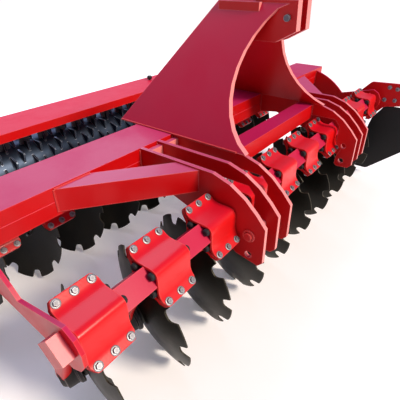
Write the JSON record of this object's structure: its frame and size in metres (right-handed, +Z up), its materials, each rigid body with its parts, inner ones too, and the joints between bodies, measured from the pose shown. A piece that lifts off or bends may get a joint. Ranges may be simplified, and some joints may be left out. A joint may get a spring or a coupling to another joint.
{
  "type": "mounted disc harrow",
  "caption": "Tractor-mounted compact disc harrow: two rows of notched, dished discs on rubber-cushioned arms under a box beam, followed by a toothed packer roller.",
  "frame": {"origin": "on the floor, under the middle of the machine's bounding box", "axes": "+Z up, -Y towards the tractor (forwards), +X to the left of a driver who looks forwards; left and right in the names are as seen from the front of the machine, so right is +X"},
  "size_m": [2.6, 2.1852, 1.21],
  "materials": {
    "red_paint": "gloss",
    "black_paint": "matte",
    "disc_steel": "satin",
    "roller_steel": "satin"
  },
  "bodies": {
    "frame": {"front_arm_01": "red_paint", "front_arm_02": "red_paint", "front_arm_03": "red_paint", "front_arm_04": "red_paint", "front_arm_05": "red_paint", "front_arm_06": "red_paint", "front_arm_07": "red_paint", "front_arm_08": "red_paint", "front_arm_09": "red_paint", "front_arm_10": "red_paint", "front_row_tube": "red_paint", "hitch_cross_tube": "red_paint", "left_deflector": "black_paint", "left_hitch": "red_paint", "main_beam": "red_paint", "rear_arm_01": "red_paint", "rear_arm_02": "red_paint", "rear_arm_03": "red_paint", "rear_arm_04": "red_paint", "rear_arm_05": "red_paint", "rear_arm_06": "red_paint", "rear_arm_07": "red_paint", "rear_arm_08": "red_paint", "rear_arm_09": "red_paint", "rear_arm_10": "red_paint", "rear_row_tube": "red_paint", "right_deflector": "black_paint", "right_hitch": "red_paint", "tower": "red_paint"},
    "front_disc_01_body": {"front_disc_01": "disc_steel"},
    "front_disc_02_body": {"front_disc_02": "disc_steel"},
    "front_disc_03_body": {"front_disc_03": "disc_steel"},
    "front_disc_04_body": {"front_disc_04": "disc_steel"},
    "front_disc_05_body": {"front_disc_05": "disc_steel"},
    "front_disc_06_body": {"front_disc_06": "disc_steel"},
    "front_disc_07_body": {"front_disc_07": "disc_steel"},
    "front_disc_08_body": {"front_disc_08": "disc_steel"},
    "front_disc_09_body": {"front_disc_09": "disc_steel"},
    "front_disc_10_body": {"front_disc_10": "disc_steel"},
    "rear_disc_01_body": {"rear_disc_01": "disc_steel"},
    "rear_disc_02_body": {"rear_disc_02": "disc_steel"},
    "rear_disc_03_body": {"rear_disc_03": "disc_steel"},
    "rear_disc_04_body": {"rear_disc_04": "disc_steel"},
    "rear_disc_05_body": {"rear_disc_05": "disc_steel"},
    "rear_disc_06_body": {"rear_disc_06": "disc_steel"},
    "rear_disc_07_body": {"rear_disc_07": "disc_steel"},
    "rear_disc_08_body": {"rear_disc_08": "disc_steel"},
    "rear_disc_09_body": {"rear_disc_09": "disc_steel"},
    "rear_disc_10_body": {"rear_disc_10": "disc_steel"},
    "packer_frame": {"roller_frame": "red_paint"},
    "packer_roller": {"roller_drum": "roller_steel"}
  },
  "joints": [
    {"name": "front_disc_01_spin", "type": "hinge", "parent": "frame", "child": "front_disc_01_body", "pos_m": [-1.1435, -0.6026, 0.2415], "axis": [0.947, -0.2895, 0.1392], "continuous": true},
    {"name": "front_disc_02_spin", "type": "hinge", "parent": "frame", "child": "front_disc_02_body", "pos_m": [-0.8935, -0.6026, 0.2415], "axis": [0.947, -0.2895, 0.1392], "continuous": true},
    {"name": "front_disc_03_spin", "type": "hinge", "parent": "frame", "child": "front_disc_03_body", "pos_m": [-0.6435, -0.6026, 0.2415], "axis": [0.947, -0.2895, 0.1392], "continuous": true},
    {"name": "front_disc_04_spin", "type": "hinge", "parent": "frame", "child": "front_disc_04_body", "pos_m": [-0.3935, -0.6026, 0.2415], "axis": [0.947, -0.2895, 0.1392], "continuous": true},
    {"name": "front_disc_05_spin", "type": "hinge", "parent": "frame", "child": "front_disc_05_body", "pos_m": [-0.1435, -0.6026, 0.2415], "axis": [0.947, -0.2895, 0.1392], "continuous": true},
    {"name": "front_disc_06_spin", "type": "hinge", "parent": "frame", "child": "front_disc_06_body", "pos_m": [0.1065, -0.6026, 0.2415], "axis": [0.947, -0.2895, 0.1392], "continuous": true},
    {"name": "front_disc_07_spin", "type": "hinge", "parent": "frame", "child": "front_disc_07_body", "pos_m": [0.3565, -0.6026, 0.2415], "axis": [0.947, -0.2895, 0.1392], "continuous": true},
    {"name": "front_disc_08_spin", "type": "hinge", "parent": "frame", "child": "front_disc_08_body", "pos_m": [0.6065, -0.6026, 0.2415], "axis": [0.947, -0.2895, 0.1392], "continuous": true},
    {"name": "front_disc_09_spin", "type": "hinge", "parent": "frame", "child": "front_disc_09_body", "pos_m": [0.8565, -0.6026, 0.2415], "axis": [0.947, -0.2895, 0.1392], "continuous": true},
    {"name": "front_disc_10_spin", "type": "hinge", "parent": "frame", "child": "front_disc_10_body", "pos_m": [1.1065, -0.6026, 0.2415], "axis": [0.947, -0.2895, 0.1392], "continuous": true},
    {"name": "rear_disc_01_spin", "type": "hinge", "parent": "frame", "child": "rear_disc_01_body", "pos_m": [-1.1065, 0.2174, 0.2415], "axis": [-0.947, -0.2895, 0.1392], "continuous": true},
    {"name": "rear_disc_02_spin", "type": "hinge", "parent": "frame", "child": "rear_disc_02_body", "pos_m": [-0.8565, 0.2174, 0.2415], "axis": [-0.947, -0.2895, 0.1392], "continuous": true},
    {"name": "rear_disc_03_spin", "type": "hinge", "parent": "frame", "child": "rear_disc_03_body", "pos_m": [-0.6065, 0.2174, 0.2415], "axis": [-0.947, -0.2895, 0.1392], "continuous": true},
    {"name": "rear_disc_04_spin", "type": "hinge", "parent": "frame", "child": "rear_disc_04_body", "pos_m": [-0.3565, 0.2174, 0.2415], "axis": [-0.947, -0.2895, 0.1392], "continuous": true},
    {"name": "rear_disc_05_spin", "type": "hinge", "parent": "frame", "child": "rear_disc_05_body", "pos_m": [-0.1065, 0.2174, 0.2415], "axis": [-0.947, -0.2895, 0.1392], "continuous": true},
    {"name": "rear_disc_06_spin", "type": "hinge", "parent": "frame", "child": "rear_disc_06_body", "pos_m": [0.1435, 0.2174, 0.2415], "axis": [-0.947, -0.2895, 0.1392], "continuous": true},
    {"name": "rear_disc_07_spin", "type": "hinge", "parent": "frame", "child": "rear_disc_07_body", "pos_m": [0.3935, 0.2174, 0.2415], "axis": [-0.947, -0.2895, 0.1392], "continuous": true},
    {"name": "rear_disc_08_spin", "type": "hinge", "parent": "frame", "child": "rear_disc_08_body", "pos_m": [0.6435, 0.2174, 0.2415], "axis": [-0.947, -0.2895, 0.1392], "continuous": true},
    {"name": "rear_disc_09_spin", "type": "hinge", "parent": "frame", "child": "rear_disc_09_body", "pos_m": [0.8935, 0.2174, 0.2415], "axis": [-0.947, -0.2895, 0.1392], "continuous": true},
    {"name": "rear_disc_10_spin", "type": "hinge", "parent": "frame", "child": "rear_disc_10_body", "pos_m": [1.1435, 0.2174, 0.2415], "axis": [-0.947, -0.2895, 0.1392], "continuous": true},
    {"name": "roller_frame_pivot", "type": "hinge", "parent": "frame", "child": "packer_frame", "pos_m": [0, -0.0626, 0.66], "axis": [1, 0, 0], "range_deg": [-10, 0]},
    {"name": "roller_spin", "type": "hinge", "parent": "packer_frame", "child": "packer_roller", "pos_m": [0, 0.8474, 0.2452], "axis": [1, 0, 0], "continuous": true}
  ]
}
